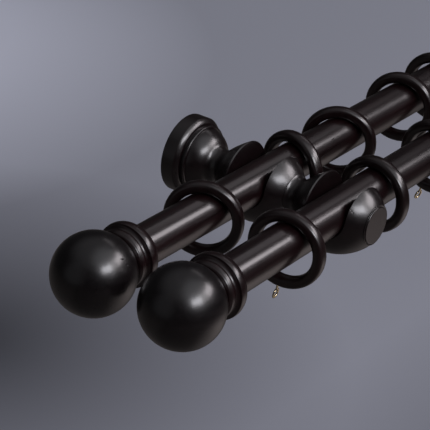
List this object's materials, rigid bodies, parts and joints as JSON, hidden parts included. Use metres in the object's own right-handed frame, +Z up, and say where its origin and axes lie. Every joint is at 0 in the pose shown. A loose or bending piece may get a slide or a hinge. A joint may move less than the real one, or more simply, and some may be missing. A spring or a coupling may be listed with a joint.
{
  "type": "double curtain pole",
  "caption": "Two dark wooden curtain poles one behind the other on turned wall brackets, with rings, screw eyes and ball ends.",
  "frame": {"origin": "on the wall's face, midway between the two brackets, at the height of the brackets' turning axes; the centre of the wall screws", "axes": "+X along the poles to the right seen from the room, +Y into the wall, +Z up; the wall is the plane Y = 0 and the whole assembly stands at negative Y"},
  "size_m": [1.1437, 0.1622, 0.0736],
  "materials": {
    "dark_wood": "satin near-black brown stain and lacquer",
    "eye_brass": "bright wire",
    "insert_brass": "machined",
    "zinc_steel": "zinc plated"
  },
  "bodies": {
    "frame": {"pole_front": "dark_wood", "pole_rear": "dark_wood", "bracket_left": "dark_wood", "bracket_right": "dark_wood", "finial_front_left": "dark_wood", "finial_front_right": "dark_wood", "finial_rear_left": "dark_wood", "finial_rear_right": "dark_wood", "finial_screws": "zinc_steel", "wall_plate_left": "zinc_steel", "wall_plate_right": "zinc_steel", "bracket_studs": "zinc_steel", "bracket_inserts": "insert_brass", "pole_lock_screws": "zinc_steel"},
    "front_ring_1": {"ring_front_1": "dark_wood", "ring_eye_front_1": "eye_brass"},
    "front_ring_2": {"ring_front_2": "dark_wood", "ring_eye_front_2": "eye_brass"},
    "front_ring_3": {"ring_front_3": "dark_wood", "ring_eye_front_3": "eye_brass"},
    "front_ring_4": {"ring_front_4": "dark_wood", "ring_eye_front_4": "eye_brass"},
    "front_ring_5": {"ring_front_5": "dark_wood", "ring_eye_front_5": "eye_brass"},
    "front_ring_6": {"ring_front_6": "dark_wood", "ring_eye_front_6": "eye_brass"},
    "front_ring_7": {"ring_front_7": "dark_wood", "ring_eye_front_7": "eye_brass"},
    "front_ring_8": {"ring_front_8": "dark_wood", "ring_eye_front_8": "eye_brass"},
    "rear_ring_1": {"ring_rear_1": "dark_wood", "ring_eye_rear_1": "eye_brass"},
    "rear_ring_2": {"ring_rear_2": "dark_wood", "ring_eye_rear_2": "eye_brass"},
    "rear_ring_3": {"ring_rear_3": "dark_wood", "ring_eye_rear_3": "eye_brass"},
    "rear_ring_4": {"ring_rear_4": "dark_wood", "ring_eye_rear_4": "eye_brass"},
    "rear_ring_5": {"ring_rear_5": "dark_wood", "ring_eye_rear_5": "eye_brass"},
    "rear_ring_6": {"ring_rear_6": "dark_wood", "ring_eye_rear_6": "eye_brass"},
    "rear_ring_7": {"ring_rear_7": "dark_wood", "ring_eye_rear_7": "eye_brass"},
    "rear_ring_8": {"ring_rear_8": "dark_wood", "ring_eye_rear_8": "eye_brass"}
  },
  "joints": [
    {"name": "front_ring_1_slide", "type": "slide", "parent": "frame", "child": "front_ring_1", "axis": [1, 0, 0], "range_m": [-0.0625, 0.0336]},
    {"name": "front_ring_2_slide", "type": "slide", "parent": "frame", "child": "front_ring_2", "axis": [1, 0, 0], "range_m": [-0.009, 0.0677]},
    {"name": "front_ring_3_slide", "type": "slide", "parent": "frame", "child": "front_ring_3", "axis": [1, 0, 0], "range_m": [-0.0677, 0.1054]},
    {"name": "front_ring_4_slide", "type": "slide", "parent": "frame", "child": "front_ring_4", "axis": [1, 0, 0], "range_m": [-0.1054, 0.1137]},
    {"name": "front_ring_5_slide", "type": "slide", "parent": "frame", "child": "front_ring_5", "axis": [1, 0, 0], "range_m": [-0.1137, 0.105]},
    {"name": "front_ring_6_slide", "type": "slide", "parent": "frame", "child": "front_ring_6", "axis": [1, 0, 0], "range_m": [-0.105, 0.1182]},
    {"name": "front_ring_7_slide", "type": "slide", "parent": "frame", "child": "front_ring_7", "axis": [1, 0, 0], "range_m": [-0.1182, 0.0677]},
    {"name": "front_ring_8_slide", "type": "slide", "parent": "frame", "child": "front_ring_8", "axis": [1, 0, 0], "range_m": [-0.0339, 0.0614]},
    {"name": "rear_ring_1_slide", "type": "slide", "parent": "frame", "child": "rear_ring_1", "axis": [1, 0, 0], "range_m": [-0.0583, 0.03]},
    {"name": "rear_ring_2_slide", "type": "slide", "parent": "frame", "child": "rear_ring_2", "axis": [1, 0, 0], "range_m": [-0.0008, 0.0353]},
    {"name": "rear_ring_3_slide", "type": "slide", "parent": "frame", "child": "rear_ring_3", "axis": [1, 0, 0], "range_m": [-0.0353, 0.0622]},
    {"name": "rear_ring_4_slide", "type": "slide", "parent": "frame", "child": "rear_ring_4", "axis": [1, 0, 0], "range_m": [-0.0622, 0.0378]},
    {"name": "rear_ring_5_slide", "type": "slide", "parent": "frame", "child": "rear_ring_5", "axis": [1, 0, 0], "range_m": [-0.0378, 0.1531]},
    {"name": "rear_ring_6_slide", "type": "slide", "parent": "frame", "child": "rear_ring_6", "axis": [1, 0, 0], "range_m": [-0.1531, 0.142]},
    {"name": "rear_ring_7_slide", "type": "slide", "parent": "frame", "child": "rear_ring_7", "axis": [1, 0, 0], "range_m": [-0.142, 0.1272]},
    {"name": "rear_ring_8_slide", "type": "slide", "parent": "frame", "child": "rear_ring_8", "axis": [1, 0, 0], "range_m": [-0.036, 0.0523]}
  ]
}
